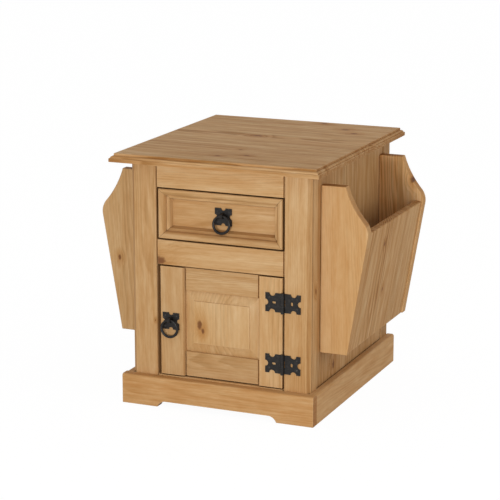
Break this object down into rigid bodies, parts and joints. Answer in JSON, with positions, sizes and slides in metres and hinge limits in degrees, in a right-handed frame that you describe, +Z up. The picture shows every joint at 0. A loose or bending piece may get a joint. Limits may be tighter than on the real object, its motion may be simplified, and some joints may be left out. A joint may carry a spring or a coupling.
{
  "type": "magazine table with rack",
  "caption": "Pine side table with a moulded top, a drawer over a panelled door, a bracket plinth and an open magazine rack on each side.",
  "frame": {"origin": "on the floor, under the middle of the top", "axes": "+X to the right as seen from the front, +Y to the back, +Z up"},
  "size_m": [0.6128, 0.544, 0.55],
  "materials": {
    "pine": "waxed",
    "plywood": "plain",
    "black_iron": "satin black",
    "zinc_steel": "zinc plated",
    "brown_plastic": "matt"
  },
  "bodies": {
    "cabinet": {"back_panel": "plywood", "bottom_rail": "pine", "cabinet_floor": "pine", "door_catch": "brown_plastic", "drawer_kickers": "pine", "drawer_runner_left": "pine", "drawer_runner_right": "pine", "drawer_stops": "pine", "dust_board": "plywood", "floor_cleats": "pine", "hinge_pins": "black_iron", "mid_rail": "pine", "plinth_front": "pine", "plinth_left": "pine", "plinth_right": "pine", "post_back_left": "pine", "post_back_right": "pine", "post_front_left": "pine", "post_front_right": "pine", "post_hinge_leaf_lower": "black_iron", "post_hinge_leaf_upper": "black_iron", "post_hinge_screws": "black_iron", "rack_left_floor": "pine", "rack_left_front_end": "pine", "rack_left_panel": "pine", "rack_left_rear_end": "pine", "rack_right_floor": "pine", "rack_right_front_end": "pine", "rack_right_panel": "pine", "rack_right_rear_end": "pine", "side_panel_left": "pine", "side_panel_right": "pine", "table_top": "pine", "top_rail": "pine", "wood_screws": "zinc_steel"},
    "drawer": {"drawer_back": "pine", "drawer_bottom": "plywood", "drawer_moulding_bottom": "pine", "drawer_moulding_left": "pine", "drawer_moulding_right": "pine", "drawer_moulding_top": "pine", "drawer_panel": "pine", "drawer_pull_nails": "black_iron", "drawer_pull_plate": "black_iron", "drawer_side_left": "pine", "drawer_side_right": "pine"},
    "drawer_ring": {"drawer_ring": "black_iron"},
    "door": {"door_hinge_leaf_lower": "black_iron", "door_hinge_leaf_upper": "black_iron", "door_hinge_screws": "black_iron", "door_panel": "pine", "door_pull_nails": "black_iron", "door_pull_plate": "black_iron", "door_rail_bottom": "pine", "door_rail_top": "pine", "door_stile_left": "pine", "door_stile_right": "pine", "door_strike": "zinc_steel"},
    "door_ring": {"door_ring": "black_iron"}
  },
  "joints": [
    {"name": "drawer_slide", "type": "slide", "parent": "cabinet", "child": "drawer", "axis": [0, -1, 0], "range_m": [0, 0.28]},
    {"name": "door_hinge", "type": "hinge", "parent": "cabinet", "child": "door", "pos_m": [0.14425, -0.2353, 0.18875], "axis": [0, 0, 1], "range_deg": [0, 170]},
    {"name": "drawer_ring_swing", "type": "hinge", "parent": "drawer", "child": "drawer_ring", "pos_m": [0, -0.219, 0.425], "axis": [-1, 0, 0], "range_deg": [0, 80]},
    {"name": "door_ring_swing", "type": "hinge", "parent": "door", "child": "door_ring", "pos_m": [-0.1132, -0.241, 0.19225], "axis": [-1, 0, 0], "range_deg": [0, 95]}
  ]
}
